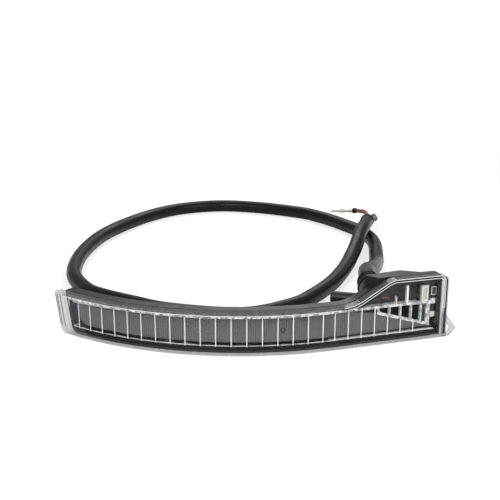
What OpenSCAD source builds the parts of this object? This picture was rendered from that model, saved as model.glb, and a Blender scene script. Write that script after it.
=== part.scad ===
// Mirror turn signal lamp with its two-core cable, in millimetres.
// Row frame: X runs along the lamp, +Y points to its back, Z is up and the table is at z = 0.
// The lamp itself is drawn in its own frame, where the nose of the lens stands at y = 0,
// and shifted at the end, so the origin is under the middle of the lamp's box.

/* [Lamp body] */
// height of the slim part
bar_h = 22; // [18:0.5:26]
// depth of the slim part, from the lens front to the back of the housing
bar_depth = 11; // [9:0.5:14]
// radius of the lens front in plan
front_r = 152; // [120:1:200]
// where the arc ends on the left, in degrees from the nose
left_angle = 37.5; // [30:0.5:42]
// where the arc ends on the right and the straight part begins
right_angle = 17.5; // [12:0.5:22]
// length of the straight part
straight_l = 63; // [58:0.5:70]
// how far the left end leans outwards at the top
end_lean = 3.3; // [0:0.1:5]
// corner radius at the foot of the left end
end_corner_r = 3.5; // [1:0.5:5]

/* [Chamber] */
// height of the deeper chamber at the right
chamber_h = 34; // [30:0.5:40]
// where the rise to the chamber begins, along the straight part
rise_start = 6.5; // [4:0.5:9]
// slope of the rise, degrees
rise_angle = 30; // [24:1:36]
// radius of the bend at the foot of the rise
rise_foot_r = 20; // [14:1:26]
// radius of the bend at the top of the rise
rise_top_r = 12; // [8:1:16]
// radius of the chamber's top right corner
chamber_corner_r = 3.5; // [2:0.5:6]
// how far the ear sticks out past the chamber
ear_w = 7; // [4:0.5:10]
// depth of the block behind the chamber, from the lens front
block_depth = 14.3; // [12.5:0.1:17]

/* [Walls] */
// wall of the clear lens
lens_t = 1.5; // [1.2:0.1:2]
// depth of the lens skirt
skirt_depth = 4.6; // [4.4:0.1:5]
// thickness of the gasket between lens and housing
seal_t = 0.8; // [0.5:0.1:1.2]
// wall of the housing
wall = 1.4; // [1.2:0.1:1.8]
// height of the dark ledge under the light guide
ledge_h = 4.2; // [3.6:0.1:5]

/* [Light guide and panel] */
// thickness of the guide's plates
guide_t = 1.2; // [1:0.1:1.4]
// width of one optical rib
rib_w = 0.6; // [0.4:0.1:1]
// ribs on the curved part
arc_ribs = 18; // [12:1:22]
// ribs on the straight part
straight_ribs = 7; // [5:1:8]
// thickness of the reflector plate
plate_t = 1.2; // [1:0.1:1.5]

/* [Board] */
// height of the circuit board
board_h = 22; // [18:0.5:22.5]
// width of the circuit board
board_w = 11; // [9:0.5:11]

/* [Cable] */
// diameter of the black sleeve
sleeve_d = 9.5; // [8.5:0.1:10]
// diameter of one core
wire_d = 3.1; // [2.4:0.1:3.4]
// length of the rubber grommet behind its flange
grommet_l = 14; // [10:1:18]
// radius of the cable boss
boss_r = 6.8; // [6:0.1:8]
// diameter of the locating peg beside the boss
peg_d = 6.8; // [5:0.1:7]
// how far the peg reaches from the middle of the boss
peg_l = 22; // [16:0.5:24]

/* [Hidden] */

$fn = 48;
arc_fn = 180;      // facets of a full turn on the long arcs
slack = 0.3;       // seat gap between separate pieces
reach = 60;        // length of cutting prisms

// plan of the front curve
arc_x = -5;        // middle of the arc, seen from the front
tan_x = arc_x + front_r * sin(right_angle);
tan_y = front_r * (1 - cos(right_angle));

// depth stations, from the lens front
guide_n = lens_t + 0.9;
ledge_n = guide_n + 0.8;
plate_n = 4.4;
house_n = skirt_depth + seal_t;
cavity_n = house_n + wall + 0.2;    // depth of the room behind the chamber window
right_n = cavity_n + wall;  // depth of the housing at its right end
guide_deep = 8.6;           // back edge of the guide's top flange
chamber_n = plate_n - slack;

// height stations
guide_top = bar_h - 2;
flange_z = guide_top - guide_t;
panel_z = ledge_h + 1.4;
edge_u0 = 28;               // where the window's lower rail leaves the top flange
edge_z0 = flange_z - 3.7;
edge_drop = 0.31;           // fall of the window's lower edge per millimetre
bar_u = straight_l - 9.5;   // the coupling bar that joins the two rails
bar_w = 2;
board_u = straight_l - 2 - board_w;
board_z = chamber_h - 3 - board_h;
board_t = 1;

// the lamp's own box, for the shift into the row frame
lean_top = end_lean * bar_h / (bar_h - 1);
left_x = arc_x - front_r * sin(left_angle) - lean_top * cos(left_angle);
ear_x = tan_x + straight_l * cos(right_angle) + ear_w;
back_y = front_r - (front_r - bar_depth) * cos(left_angle) + lean_top * sin(left_angle);
mid_x = (left_x + ear_x) / 2;
mid_y = back_y / 2;

// cable boss, in the lamp's frame
boss_x = 63.5;
boss_y = 33;
boss_z = 24;
boss_back = 9;              // how far the boss reaches forward into the block
bore_r = 3.8;
grommet_end = boss_y + grommet_l;

// one function per curve of the chamber's outline; d is the inset
function arc_pts(cx, cz, r, a0, a1, n = 8) =
    [for (i = [0:n]) [cx + r * cos(a0 + (a1 - a0) * i / n), cz + r * sin(a0 + (a1 - a0) * i / n)]];
foot_end = [rise_start + rise_foot_r * sin(rise_angle), bar_h + rise_foot_r * (1 - cos(rise_angle))];
top_start_z = chamber_h - rise_top_r * (1 - cos(rise_angle));
top_start_u = foot_end[0] + (top_start_z - foot_end[1]) / tan(rise_angle);
top_mid_u = top_start_u + rise_top_r * sin(rise_angle);
function rise_line(d) = concat(
    arc_pts(top_mid_u, chamber_h - rise_top_r, rise_top_r - d, 90, 90 + rise_angle),
    arc_pts(rise_start, bar_h + rise_foot_r, rise_foot_r + d, 270 + rise_angle, 270));
function chamber_outline(d, floor_z) = concat(
    [[0, floor_z + hair], [straight_l - d, floor_z + hair]],
    arc_pts(straight_l - chamber_corner_r, chamber_h - chamber_corner_r,
        max(chamber_corner_r - d, 0.4), 0, 90, 5),
    rise_line(d + hair), [[0, bar_h - d - hair]]);
function window_edge(u) = edge_z0 - edge_drop * (u - edge_u0);

// one line through each pair of neighbours, moved inwards by d, for plan polygons
function inset_line(a, b, d) = let (t = (b - a) / norm(b - a)) [a + d * [-t[1], t[0]], t];
function crossing(p, q) = let (w = q[0] - p[0], k = p[1][0] * q[1][1] - p[1][1] * q[1][0])
    p[0] + p[1] * (w[0] * q[1][1] - w[1] * q[1][0]) / k;
function inset(pts, d) = let (n = len(pts)) [for (i = [0:n - 1])
    crossing(inset_line(pts[(i + n - 1) % n], pts[i], d), inset_line(pts[i], pts[(i + 1) % n], d))];

// plan of the block, from the front edge of the housing round its back
block_u = 27.3;
block_end = straight_l - 6;
slant_u = [straight_l - 19.4, straight_l - 10.5];    // where the slanted corner starts and ends
block_plan = [[block_u, house_n], [block_end, house_n], [block_end, right_n], [slant_u[1], right_n],
    [slant_u[0], block_depth], [22.5, block_depth - 2.2]];

// placing: the lamp's frame, the arc's frame at an angle from the nose, the straight part's frame
module placed() { translate([-mid_x, -mid_y, 0]) children(); }
module at_angle(a) { translate([arc_x, front_r, 0]) rotate([0, 0, a]) translate([0, -front_r, 0]) children(); }
module on_straight() { translate([tan_x, tan_y, 0]) rotate([0, 0, right_angle]) children(); }

// a block given by depth and height, swept along the arc and cut by the leaning left end
module arc_block(n0, n1, z0, z1, d = 0) {
    difference() {
        translate([arc_x, front_r, 0]) rotate([0, 0, -left_angle - 95])
            rotate_extrude(angle = left_angle + right_angle + 5, $fn = arc_fn)
                translate([front_r - n1, z0]) square([n1 - n0, z1 - z0]);
        at_angle(-left_angle) translate([d, n1 + 2, 0]) rotate([90, 0, 0])
            linear_extrude(n1 - n0 + 8) polygon(concat(
                [[-reach, -1], [end_corner_r, -1]],
                [for (p = arc_pts(end_corner_r, end_corner_r + d, end_corner_r, 270, 188, 5)) p],
                [[-end_lean, bar_h - 1], [-end_lean - 0.5, bar_h + 2.2], [-reach, bar_h + 2.2]]));
    }
}
// a flat outline given by length and height, as thick as n0 to n1, on the straight part; it lies a
// hair inside the arc's block and starts a little before the arc ends, so that the two become one
join_l = 0.4;
hair = 0.02;
module straight_block(n0, n1, outline) {
    on_straight() translate([0, n1 - hair, 0]) rotate([90, 0, 0]) linear_extrude(n1 - n0 - 2 * hair)
        polygon([for (p = outline) p[0] == 0 ? [-join_l, p[1]] : p]);
}
module straight_box(u0, u1, n0, n1, z0, z1) {
    on_straight() translate([u0, n0, z0]) cube([u1 - u0, n1 - n0, z1 - z0]);
}

// the whole lamp's outline as a solid, inset by d, as thick as n0 to n1
module full_block(n0, n1, d) {
    arc_block(n0, n1, d, bar_h - d, d);
    straight_block(n0, n1, chamber_outline(d, d));
}

// clear cover
module outer_lens() {
    color([0.9, 0.93, 0.95, 0.35]) placed() {
        difference() {
            full_block(0, skirt_depth, 0);
            full_block(lens_t, skirt_depth + 1, lens_t);
        }
        ear();
    }
}
module ear() {
    straight_block(0, 2, [[straight_l - 1, 0], [straight_l + ear_w * 0.5, 0.3],
        [straight_l + ear_w, ear_w * 0.6], [straight_l + 1, ear_w * 1.75], [straight_l - 1, ear_w * 1.9]]);
}

// gasket in the joint between cover and housing
module lens_seal() {
    color([0.05, 0.05, 0.05]) placed() difference() {
        full_block(skirt_depth, house_n, 0);
        full_block(skirt_depth - 1, house_n + 1, lens_t);
    }
}

// dark moulded tray with the block, the boss and the pegs
module rear_housing() {
    color([0.09, 0.09, 0.1]) placed() difference() {
        union() {
            tray();
            ledge();
            boss();
            plate_posts();
        }
        boss_bore();
        vent_bore();
    }
}
module tray() {
    difference() {
        union() {
            arc_block(house_n, bar_depth, 0, bar_h);
            difference() {
                straight_block(house_n, bar_depth, chamber_outline(0, 0));
                behind_block();
            }
            on_straight() linear_extrude(chamber_h) polygon(block_plan);
        }
        arc_block(house_n - 1, bar_depth - wall, ledge_h, bar_h - wall, wall);
        intersection() {
            straight_block(house_n - 1, bar_depth - wall, chamber_outline(wall, ledge_h));
            straight_box(-1, block_u, 0, bar_depth, 0, chamber_h);
        }
        straight_block(house_n - 1, cavity_n, chamber_outline(wall, ledge_h));
        block_room();
    }
}
// what lies past the block's slanted back edge
module behind_block() {
    on_straight() translate([0, 0, -1]) linear_extrude(reach)
        polygon([[slant_u[0], block_depth], [slant_u[1], right_n], [straight_l + reach, right_n],
            [straight_l + reach, reach], [slant_u[0], reach]]);
}
// hollow of the block, open to the chamber in front of it
module block_room() {
    on_straight() translate([0, 0, ledge_h]) linear_extrude(chamber_h - wall - ledge_h)
        polygon(inset(block_plan, wall));
}
module ledge() {
    difference() {
        union() {
            arc_block(ledge_n, house_n, lens_t + slack, bar_h - lens_t - slack, lens_t + slack);
            straight_block(ledge_n, house_n, [[0, lens_t + slack + hair],
                [straight_l - lens_t - slack, lens_t + slack + hair],
                [straight_l - lens_t - slack, ledge_h - hair], [0, ledge_h - hair]]);
        }
        arc_block(ledge_n - 1, house_n + 1, ledge_h, bar_h, lens_t + slack + wall);
    }
}
module boss() {
    translate([boss_x, boss_y, boss_z]) rotate([90, 0, 0]) cylinder(r = boss_r, h = boss_back);
    peg();
}
peg_root = 8;               // length of the peg's thicker root
module peg() {
    translate([boss_x, boss_y - 6, boss_z - 4.5]) rotate([0, -90, -15]) {
        cylinder(d = peg_d + 1, h = peg_root);
        cylinder(d = peg_d, h = peg_l - 1);
        translate([0, 0, peg_l - 1]) cylinder(d1 = peg_d, d2 = peg_d - 2, h = 1);
    }
}
module boss_bore() {
    translate([boss_x, boss_y + 1, boss_z]) rotate([90, 0, 0]) cylinder(r = bore_r, h = boss_back + 2);
}
vent_angle = -10;
module vent_bore() {
    at_angle(vent_angle) translate([0, bar_depth + 1, bar_h / 2]) rotate([90, 0, 0]) cylinder(d = 3, h = 4);
}
module vent_membrane() {
    color([0.75, 0.75, 0.72]) placed() at_angle(vent_angle)
        translate([0, bar_depth + 0.4, bar_h / 2]) rotate([90, 0, 0]) cylinder(d = 8, h = 0.3);
}
// short posts that carry the reflector plate
module plate_posts() {
    for (a = [-32, -20, -8, 4, 14])
        at_angle(a) translate([0, bar_depth - wall / 2, bar_h / 2]) rotate([90, 0, 0])
            cylinder(d = 4, h = bar_depth - wall / 2 - plate_n - plate_t);
    for (z = [board_z + 4.5, board_z + board_h - 2.5])
        on_straight() translate([straight_l - 3.5, right_n - wall / 2, z]) rotate([90, 0, 0])
            cylinder(d = 2.4, h = right_n - wall / 2 - plate_n - board_t);
    on_straight() translate([20, bar_depth - wall / 2, bar_h / 2 - 1]) rotate([90, 0, 0])
        cylinder(d = 4, h = bar_depth - wall / 2 - plate_n - plate_t);
}

// clear guide: ribbed front plate, two flanges, and the rails in the chamber window
guide_d = 3.5;              // inset of the guide's left end
module light_guide() {
    color([0.93, 0.94, 0.95, 0.6]) placed() {
        difference() {
            arc_block(guide_n, guide_deep, ledge_h, guide_top, guide_d);
            arc_block(guide_n + guide_t, guide_deep + 1, ledge_h + guide_t, flange_z, guide_d - 1);
        }
        straight_block(guide_n, guide_n + guide_t, front_outline());
        straight_box(-join_l, board_u - 1, guide_n + hair, guide_deep - hair, flange_z + hair, guide_top - hair);
        straight_box(-join_l, straight_l - 17, guide_n + hair, guide_deep - hair, ledge_h + hair,
            ledge_h + guide_t - hair);
        window_frame();
        arc_rib_set();
        straight_rib_set();
    }
}
function front_outline() = [[0, ledge_h + 2 * hair], [straight_l - 4.5, ledge_h + 2 * hair],
    [bar_u, window_edge(bar_u)], [edge_u0, edge_z0], [edge_u0 - 1.5, flange_z + 0.1], [0, flange_z + 0.1]];
module window_frame() {
    rail = 1.2;
    straight_block(guide_n, chamber_n, [[edge_u0 - 1.5, edge_z0], [edge_u0, edge_z0 - 0.2],
        [bar_u + bar_w, window_edge(bar_u + bar_w) - 0.2], [bar_u + bar_w, window_edge(bar_u + bar_w) + rail],
        [edge_u0, edge_z0 + rail], [edge_u0 - 1.5, edge_z0 + rail]]);
    straight_box(board_u - 2, bar_u + bar_w + 0.5, guide_n, chamber_n, flange_z, guide_top);
    straight_box(bar_u, bar_u + bar_w, guide_n, chamber_n, window_edge(bar_u + bar_w), flange_z + 0.1);
    for (u = [32.7, 38.9, 44.9, 50.4])
        straight_box(u - 0.4, u + 0.4, guide_n, chamber_n, window_edge(u), flange_z + 0.1);
    straight_box(41.9, 42.9, guide_n, chamber_n, guide_top - 0.1, chamber_h - 4.5);
    straight_box(36, 36.5, guide_n, chamber_n, guide_top - 0.1, guide_top + 4);
}
rib_out = 0.6;
module rib(front_z) {
    translate([-rib_w / 2, guide_n - rib_out, ledge_h]) cube([rib_w, rib_out + 0.3, front_z - ledge_h]);
}
module top_rib() {
    translate([-rib_w / 2, guide_n - rib_out, flange_z]) cube([rib_w, guide_deep - guide_n, guide_t + slack]);
}
module arc_rib_set() {
    for (i = [0:arc_ribs - 1]) at_angle(-left_angle + 3.5 + i * (left_angle + right_angle - 5) / (arc_ribs - 1)) {
        rib(guide_top);
        top_rib();
    }
}
rib_pitch = 7.25;
module straight_rib_set() {
    on_straight() for (i = [0:straight_ribs - 1]) let (u = 2.4 + i * rib_pitch) translate([u, 0, 0]) {
        rib(u < edge_u0 - 2 ? guide_top : window_edge(u));
        if (u < edge_u0 - 2) top_rib();
    }
}

// grey panel behind the ribs; its top edge falls to the left and follows the window on the right
panel_d = 6.7;
panel_top = flange_z - slack;
fall_x = -45;               // where the panel's top edge starts to fall
fall_h = 3.7;               // how much lower it is at the left end
strip_x = -54;              // where the pale strip above it ends
module reflector_plate() {
    color([0.42, 0.42, 0.43]) placed() {
        difference() {
            arc_block(plate_n, plate_n + plate_t, panel_z, panel_top, panel_d);
            panel_fall(0);
        }
        difference() {
            straight_block(plate_n, plate_n + plate_t, [[0, panel_z + hair], [board_u + 8, panel_z + hair],
                [board_u + 0.5, window_edge(board_u + 0.5)], [edge_u0, edge_z0], [16, panel_top - 1.3],
                [3, panel_top - hair], [0, panel_top - hair]]);
            straight_box(board_u - slack, straight_l, plate_n - 1, plate_n + plate_t + 1,
                board_z - slack, chamber_h);
        }
    }
}
// everything above the panel's falling edge at the left, moved up by lift
module panel_fall(lift) {
    translate([0, reach, lift]) rotate([90, 0, 0]) linear_extrude(reach)
        polygon([[-2 * reach, panel_top - fall_h], [fall_x, panel_top], [fall_x, bar_h + 8],
            [-2 * reach, bar_h + 8]]);
}
module diffuser_strip() {
    color([0.92, 0.92, 0.9]) placed() intersection() {
        arc_block(plate_n, plate_n + plate_t, panel_z, panel_top, guide_d + 0.6);
        panel_fall(slack);
        translate([-2 * reach, 0, 0]) cube([2 * reach + strip_x, reach, bar_h + 18]);
    }
}

// black frame inside the chamber window
module chamber_bezel() {
    d0 = lens_t + slack;
    d1 = d0 + 2.2;
    color([0.06, 0.06, 0.07]) placed() difference() {
        straight_block(lens_t + slack, chamber_n, concat([[14, guide_top + 0.7], [bar_u + 4, guide_top + 0.7],
            [bar_u + 4, board_z - 2], [straight_l - d0, board_z - 2]],
            arc_pts(straight_l - chamber_corner_r, chamber_h - chamber_corner_r,
                chamber_corner_r - d0, 0, 90, 5), bezel_rise(d0), [[14, guide_top + 0.7]]));
        straight_block(lens_t, chamber_n + 1, concat([[15, 10], [straight_l - d1, 10]],
            arc_pts(straight_l - d1 - 1, chamber_h - d1 - 1, 1, 0, 90, 3), bezel_rise(d1)));
    }
}
function bezel_rise(d) = [for (p = rise_line(d)) if (p[0] > 14.2) p];

// circuit board and what stands on it
module circuit_board() {
    color([0.25, 0.28, 0.22]) placed()
        straight_box(board_u, board_u + board_w, plate_n, plate_n + board_t, board_z, board_z + board_h);
}
part_u = bar_u + bar_w + slack + 0.5;
module led(z) {
    straight_box(part_u, part_u + 2.6, plate_n - 1.2, plate_n, z - 1.35, z + 1.35);
    straight_box(part_u + 0.4, part_u + 2.2, plate_n - 1.4, plate_n - 1.1, z - 0.9, z + 0.9);
}
module led_upper() { color([0.95, 0.9, 0.7]) placed() led(flange_z + 0.5); }
module led_lower() { color([0.95, 0.9, 0.7]) placed() led(flange_z - 6.7); }
module protection_diode() {
    color([0.1, 0.1, 0.1]) placed() {
        straight_box(part_u + 0.3, part_u + 2.5, plate_n - 1.3, plate_n, chamber_h - 10.6, chamber_h - 7.2);
        straight_box(part_u + 0.8, part_u + 2, plate_n - 0.5, plate_n, chamber_h - 11.1, chamber_h - 6.8);
    }
}
module chip_resistor(z) {
    straight_box(part_u + 0.5, part_u + 2.3, plate_n - 0.5, plate_n, z - 0.6, z + 0.6);
}
module resistor_upper() { color([0.12, 0.12, 0.13]) placed() chip_resistor(chamber_h - 5.2); }
module resistor_lower() { color([0.12, 0.12, 0.13]) placed() chip_resistor(flange_z - 3.1); }
module light_coupler() {
    color([0.85, 0.88, 0.8]) placed() difference() {
        straight_box(board_u + 0.5, board_u + 4.3, guide_n, plate_n, guide_top, chamber_h - 5.5);
        straight_box(board_u + 1.5, board_u + 3.3, guide_n - 1, guide_n + 0.8, guide_top + 1.5,
            chamber_h - 7);
    }
}
// pads of the two leads, on the back of the board
solder_t = 0.5;
pad_u = board_u + 1.6;
pad_z = [guide_top + 2, min(guide_top + 7, board_z + board_h - 4)];
module solder_joints() {
    color([0.75, 0.75, 0.77]) placed() on_straight()
        for (z = pad_z) translate([pad_u, plate_n + board_t + solder_t, z])
            rotate([90, 0, 0]) cylinder(d = 2.4, h = solder_t);
}

// sweeping a round section along points; the tangent is the mean of the neighbouring legs
function unit(v) = v / norm(v);
function leg(p, i) = unit(p[min(i + 1, len(p) - 1)] - p[max(i - 1, 0)]);
function side(t) = unit(cross(t, abs(t[2]) > 0.9 ? [1, 0, 0] : [0, 0, 1]));
function ring(c, t, r, n) = let (s = side(t), w = cross(s, t))
    [for (k = [0:n - 1]) c + r * cos(360 * k / n) * s + r * sin(360 * k / n) * w];
module sweep(pts, d, n, first = undef, last = undef) {
    m = len(pts);
    // the polygon is drawn slightly large, so its volume is that of the round section
    r = d / 2 * sqrt(2 * PI / (n * sin(360 / n)));
    rings = [for (i = [0:m - 1]) let (t = i == 0 && first != undef ? first
        : i == m - 1 && last != undef ? last : leg(pts, i)) ring(pts[i], t, r, n)];
    polyhedron(points = [for (q = rings) each q], faces = concat(
        [[for (k = [0:n - 1]) k]],
        [for (i = [0:m - 2]) for (k = [0:n - 1])
            [i * n + k, (i + 1) * n + k, (i + 1) * n + (k + 1) % n, i * n + (k + 1) % n]],
        [[for (k = [n - 1:-1:0]) (m - 1) * n + k]]));
}
// a smooth curve through the route's points, steps per leg
function spline(p, i, t) = let (n = len(p), a = p[max(i - 1, 0)], b = p[i], c = p[i + 1],
    e = p[min(i + 2, n - 1)])
    0.5 * (2 * b + (c - a) * t + (2 * a - 5 * b + 4 * c - e) * t * t + (3 * b - a - 3 * c + e) * t * t * t);
function smooth(p, steps) = concat([for (i = [0:len(p) - 2]) for (s = [0:steps - 1]) spline(p, i, s / steps)],
    [p[len(p) - 1]]);

// the cable's route in the row frame: out of the grommet, down to the table, round the loop,
// and over itself in a low hump
exit_pt = [boss_x - mid_x, grommet_end - mid_y, boss_z];
cable_route = [exit_pt, [60.5, 36, 23.5], [63, 56, 20], [67, 70, 16.5], [71, 86, 12.5], [75, 104, 8.5],
    [78.5, 123, 5.8], [81, 142, 5], [83, 160, 5], [83, 176, 5], [80.5, 191, 5], [75.5, 205, 5],
    [68.5, 218, 5], [59, 234, 5], [50, 246, 5], [37, 259, 5], [5, 276, 5], [-28, 283, 5], [-60, 272.5, 5],
    [-82, 250, 5], [-99, 220, 5], [-110, 191, 5], [-115, 164, 5], [-117, 135, 5], [-115, 106, 5],
    [-110, 86, 5], [-99, 65, 5], [-89, 55, 5], [-70, 42.5, 5], [-47, 30, 5], [-8, 23, 5], [19, 37.6, 5],
    [31.5, 53.5, 5], [44, 76, 5], [52, 96, 5], [59, 117, 5.5], [62.5, 128, 7], [66, 138, 9.5],
    [69, 148, 12], [72, 160, 14.3], [75.5, 172, 15], [81, 193, 14.5]];
module cable_sleeve() {
    color([0.06, 0.06, 0.06]) sweep(smooth(cable_route, 2), sleeve_d, 10, [0, 1, 0], unit([5.5, 21, -0.5]));
}

// turns +Z onto a direction, at a point
module aimed(p, v) {
    translate(p) rotate([0, acos(v[2] / norm(v)), atan2(v[1], v[0])]) children();
}
sleeve_end = cable_route[len(cable_route) - 1];
sleeve_dir = unit([5.5, 21, -0.5]);
wrap_l = 9;
wrap_end = sleeve_end + wrap_l * sleeve_dir;
module sleeve_wrap() {
    color([0.04, 0.04, 0.04]) aimed(sleeve_end, sleeve_dir) {
        cylinder(r = sleeve_d / 2 + 0.2, h = 3);
        translate([0, 0, 3]) cylinder(r1 = sleeve_d / 2 + 0.2, r2 = wire_d + 0.3, h = wrap_l - 3);
    }
}
// cores: side by side out of the wrap, then apart
wire_side = unit(cross(sleeve_dir, [0, 0, 1]));
core_gap = wire_d / 2 + 0.1;
brown_start = wrap_end - core_gap * wire_side;
black_start = wrap_end + core_gap * wire_side;
brown_route = [brown_start, brown_start + 6 * sleeve_dir, [84, 218, 14], [83, 225, 14], [78, 231, 13.4]];
black_route = [black_start, black_start + 6 * sleeve_dir, [90, 220, 12], [92, 228, 9], [93, 234, 6.5]];
brown_dir = unit([-7, 3.5, -1]);
black_dir = unit([1.2, 8, -1.8]);
module brown_wire() {
    color([0.42, 0.26, 0.17]) sweep(smooth(brown_route, 2), wire_d, 8, sleeve_dir, brown_dir);
}
module black_wire() {
    color([0.05, 0.05, 0.05]) sweep(smooth(black_route, 2), wire_d, 8, sleeve_dir, black_dir);
}
// ribbed seal on the core's end, then the crimped terminal
seal_l = 3;
module wire_seal() {
    cylinder(r = wire_d / 2 + 0.1, h = seal_l);
    for (z = [0.2, 1.2, 2.2]) translate([0, 0, z]) cylinder(r = wire_d / 2 + 0.5, h = 0.5);
}
module terminal() {
    translate([0, 0, seal_l]) {
        cylinder(r = 1.5, h = 3);
        cylinder(r = 0.9, h = 6);
        translate([0, 0, 4]) cylinder(r = 1.2, h = 2.5);
        translate([-1.1, -1, 6]) cube([2.2, 2, 5]);
        translate([-0.75, -0.4, 10]) cube([1.5, 0.8, 8]);
    }
}
module brown_seal() { color([0.07, 0.07, 0.07]) aimed(brown_route[4], brown_dir) wire_seal(); }
module black_seal() { color([0.07, 0.07, 0.07]) aimed(black_route[4], black_dir) wire_seal(); }
module brown_terminal() { color([0.72, 0.7, 0.64]) aimed(brown_route[4], brown_dir) terminal(); }
module black_terminal() { color([0.72, 0.7, 0.64]) aimed(black_route[4], black_dir) terminal(); }

// rubber grommet: spigot in the bore, flange on the boss, tapered tail
module cable_grommet() {
    tail_r = sleeve_d / 2 + 0.9;
    color([0.05, 0.05, 0.05]) placed() translate([boss_x, boss_y, boss_z]) rotate([-90, 0, 0]) {
        translate([0, 0, -boss_back + 2]) cylinder(r = bore_r - 0.2, h = boss_back - 2);
        cylinder(r = boss_r + 0.4, h = 2.5);
        cylinder(r1 = boss_r - 0.4, r2 = tail_r, h = grommet_l);
        for (z = [5, 8, 11]) translate([0, 0, z]) cylinder(r = tail_r + 0.6, h = 1.2);
    }
}
// leads inside the block: one above the other out of the grommet's spigot, past the boss's end,
// then along the board's back to the pads
function in_row(u, n, z) = [tan_x + u * cos(right_angle) - n * sin(right_angle) - mid_x,
    tan_y + u * sin(right_angle) + n * cos(right_angle) - mid_y, z];
lead_d = 1.4;
lead_y = boss_y - boss_back + 2 - mid_y;
function lead_route(lift, z) = [[boss_x - mid_x, lead_y, boss_z + lift],
    [boss_x - mid_x, lead_y - 3, boss_z + lift], in_row(32.5, 6.4, (z + boss_z + lift) / 2),
    in_row(slant_u[0] - 1.6, 9, z), in_row(pad_u - 3, 8.4, z),
    in_row(pad_u, plate_n + board_t + solder_t, z)];
module inner_lead(lift, z) {
    sweep(smooth(lead_route(lift, z), 2), lead_d, 8, [0, -1, 0], [sin(right_angle), -cos(right_angle), 0]);
}
module inner_brown_lead() { color([0.42, 0.26, 0.17]) inner_lead(-1, pad_z[0]); }
module inner_black_lead() { color([0.05, 0.05, 0.05]) inner_lead(1, pad_z[1]); }

rear_housing();
outer_lens();
lens_seal();
light_guide();
reflector_plate();
diffuser_strip();
chamber_bezel();
circuit_board();
led_upper();
led_lower();
protection_diode();
resistor_upper();
resistor_lower();
light_coupler();
solder_joints();
inner_brown_lead();
inner_black_lead();
vent_membrane();
cable_grommet();
cable_sleeve();
sleeve_wrap();
brown_wire();
black_wire();
brown_seal();
black_seal();
brown_terminal();
black_terminal();
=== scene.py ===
"""Mirror turn signal lamp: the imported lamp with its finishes, its cable and its surroundings.

Everything is in metres, in the row frame: X runs along the lamp, +Y points to its back, Z is up
and the table is at z = 0.
"""

from __future__ import annotations

import logging
import math
from dataclasses import dataclass, field
from enum import Enum
from typing import Iterable, Sequence

import bpy
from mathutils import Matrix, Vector

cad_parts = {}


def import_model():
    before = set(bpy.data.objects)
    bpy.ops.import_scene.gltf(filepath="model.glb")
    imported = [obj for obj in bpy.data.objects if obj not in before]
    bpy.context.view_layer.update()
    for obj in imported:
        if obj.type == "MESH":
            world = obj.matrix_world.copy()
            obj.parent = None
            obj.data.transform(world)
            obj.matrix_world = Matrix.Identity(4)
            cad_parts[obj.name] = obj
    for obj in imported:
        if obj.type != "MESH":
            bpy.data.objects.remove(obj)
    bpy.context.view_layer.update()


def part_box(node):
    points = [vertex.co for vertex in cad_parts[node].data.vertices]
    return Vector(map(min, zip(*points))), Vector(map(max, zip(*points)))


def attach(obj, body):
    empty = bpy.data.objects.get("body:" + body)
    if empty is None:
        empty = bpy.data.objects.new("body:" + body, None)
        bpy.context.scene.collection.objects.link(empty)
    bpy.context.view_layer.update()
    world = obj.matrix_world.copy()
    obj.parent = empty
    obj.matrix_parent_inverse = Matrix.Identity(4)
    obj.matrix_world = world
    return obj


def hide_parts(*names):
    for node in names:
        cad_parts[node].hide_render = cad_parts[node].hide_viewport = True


LOG = logging.getLogger("signal_lamp")

MM = 0.001
Point = tuple[float, float, float]


class Slot(Enum):
    """The record's material slot names."""

    LENS = "lens_clear"
    PANEL = "panel_grey"
    BEZEL = "bezel_black"
    LED = "led_pale"
    BROWN = "wire_brown"
    BLACK = "wire_black"
    SLEEVE = "sleeve_black"


def mm(*values: float) -> Point:
    """Turn millimetres into metres."""
    return tuple(v * MM for v in values)


def lone_selection() -> None:
    """Deselect everything, so that the next operator acts on its own piece."""
    bpy.ops.object.select_all(action="DESELECT")


def pick(obj: bpy.types.Object) -> None:
    """Make one object the selected and active one."""
    lone_selection()
    obj.select_set(True)
    bpy.context.view_layer.objects.active = obj


def settle(obj: bpy.types.Object) -> None:
    """Move an object's place into its mesh, so the object sits at the origin."""
    pick(obj)
    bpy.ops.object.transform_apply(location=True, rotation=True, scale=True)


def dial(node: bpy.types.Node, values: dict[str, object]) -> None:
    """Set inputs of a node.

    Args:
        node: the node.
        values: each input's name and its value.
    """
    for name, value in values.items():
        node.inputs[name].default_value = value


def blank_material(name: str) -> tuple[bpy.types.Material, bpy.types.Nodes, bpy.types.NodeLinks,
                                       bpy.types.Node]:
    """Start a material that uses nodes.

    Args:
        name: the material's name.

    Returns:
        The material, its nodes, its links and its surface shader.
    """
    mat = bpy.data.materials.new(name)
    mat.use_nodes = True
    nodes = mat.node_tree.nodes
    return mat, nodes, mat.node_tree.links, nodes["Principled BSDF"]


def mesh_object(name: str, corners: Sequence[Point], faces: Sequence[Sequence[int]]) -> bpy.types.Object:
    """Make a mesh object at the origin.

    Args:
        name: the piece's name.
        corners: its corners, in metres.
        faces: the corners of each face.

    Returns:
        The mesh object, with no finish yet.
    """
    mesh = bpy.data.meshes.new(name)
    mesh.from_pydata(corners, [], faces)
    obj = bpy.data.objects.new(name, mesh)
    bpy.context.scene.collection.objects.link(obj)
    return obj


def wear(book: FinishBook, obj: bpy.types.Object, finish: AnyFinish) -> None:
    """Give a new piece its finish and let it ride on the lamp.

    Args:
        book: the finish book.
        obj: the piece.
        finish: its finish.
    """
    obj.data.materials.append(book.get(finish))
    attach(obj, "root")


# The lamp's plan


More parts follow.
